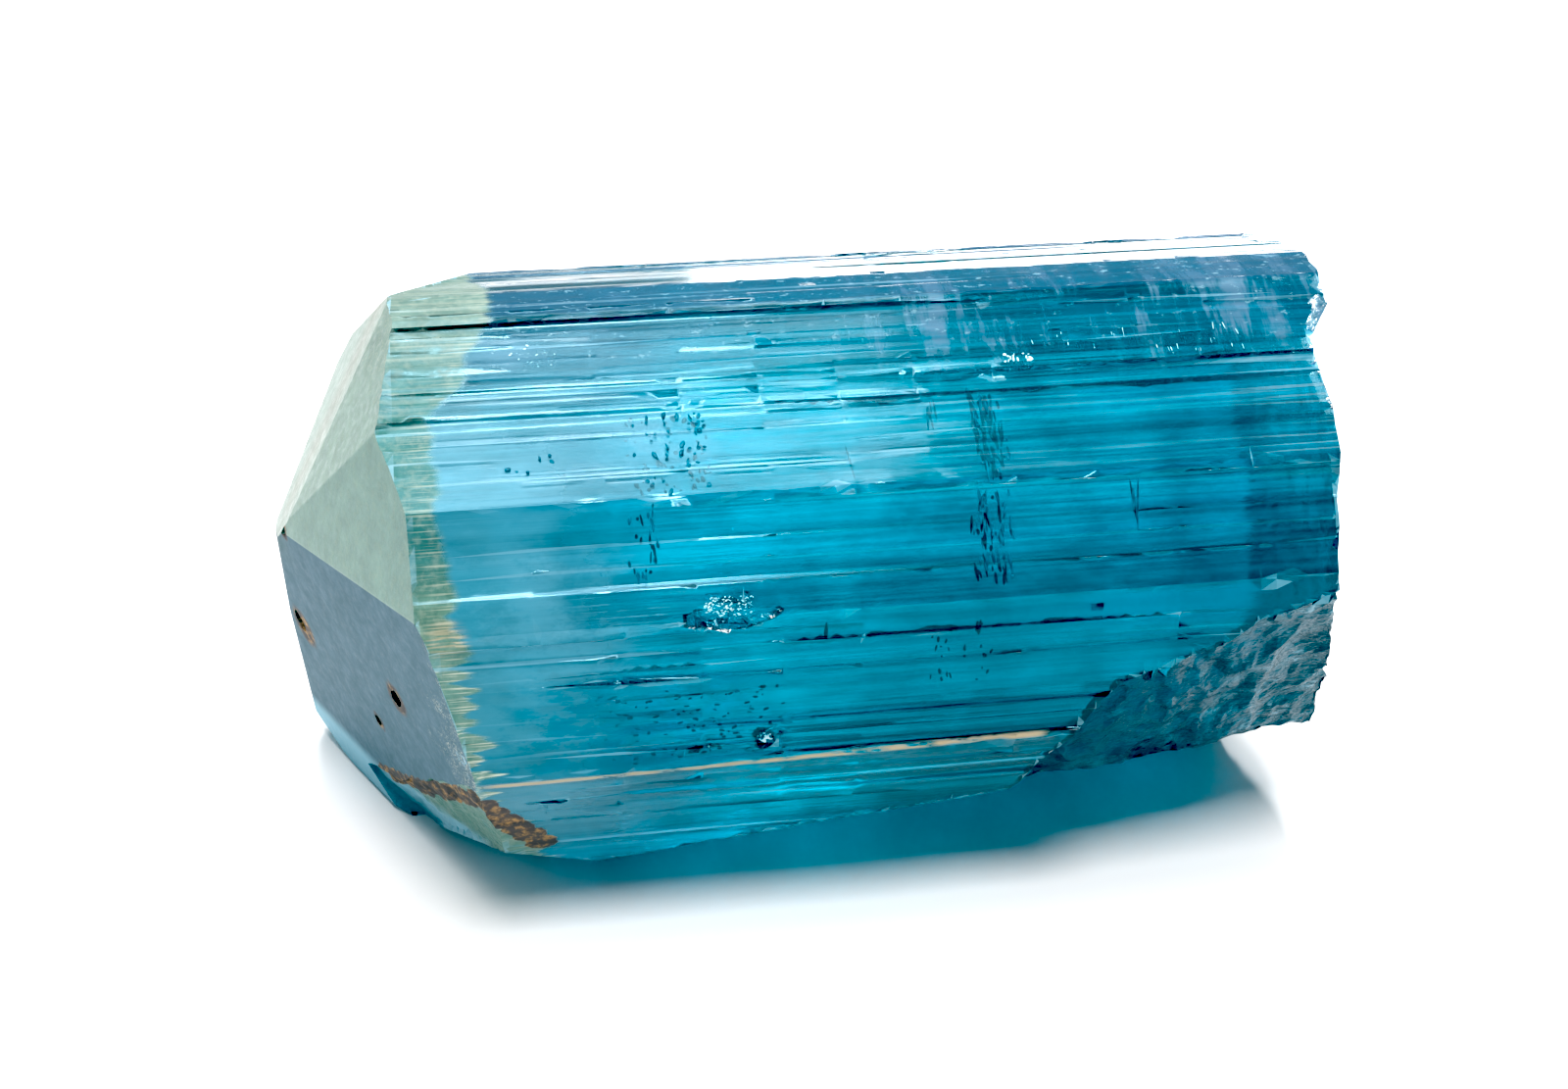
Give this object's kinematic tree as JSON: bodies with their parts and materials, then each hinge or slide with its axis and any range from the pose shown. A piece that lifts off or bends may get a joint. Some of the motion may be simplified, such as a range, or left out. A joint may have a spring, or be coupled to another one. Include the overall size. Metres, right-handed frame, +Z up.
{
  "type": "tourmaline crystal",
  "caption": "Long prism of clear blue-green tourmaline with fine lengthwise grooves, a pale faceted cap at one end and a rough break at the other.",
  "frame": {"origin": "middle of the crystal's bounding box, at the level of its flat underside", "axes": "+X along the crystal towards its broken end, -Y towards the front, +Z up"},
  "size_m": [0.032, 0.0174, 0.0171],
  "materials": {
    "tourmaline": "clear natural crystal, glossy on its faces and rough where it is broken"
  },
  "bodies": {
    "root": {"tourmaline_crystal": "tourmaline"}
  },
  "joints": []
}
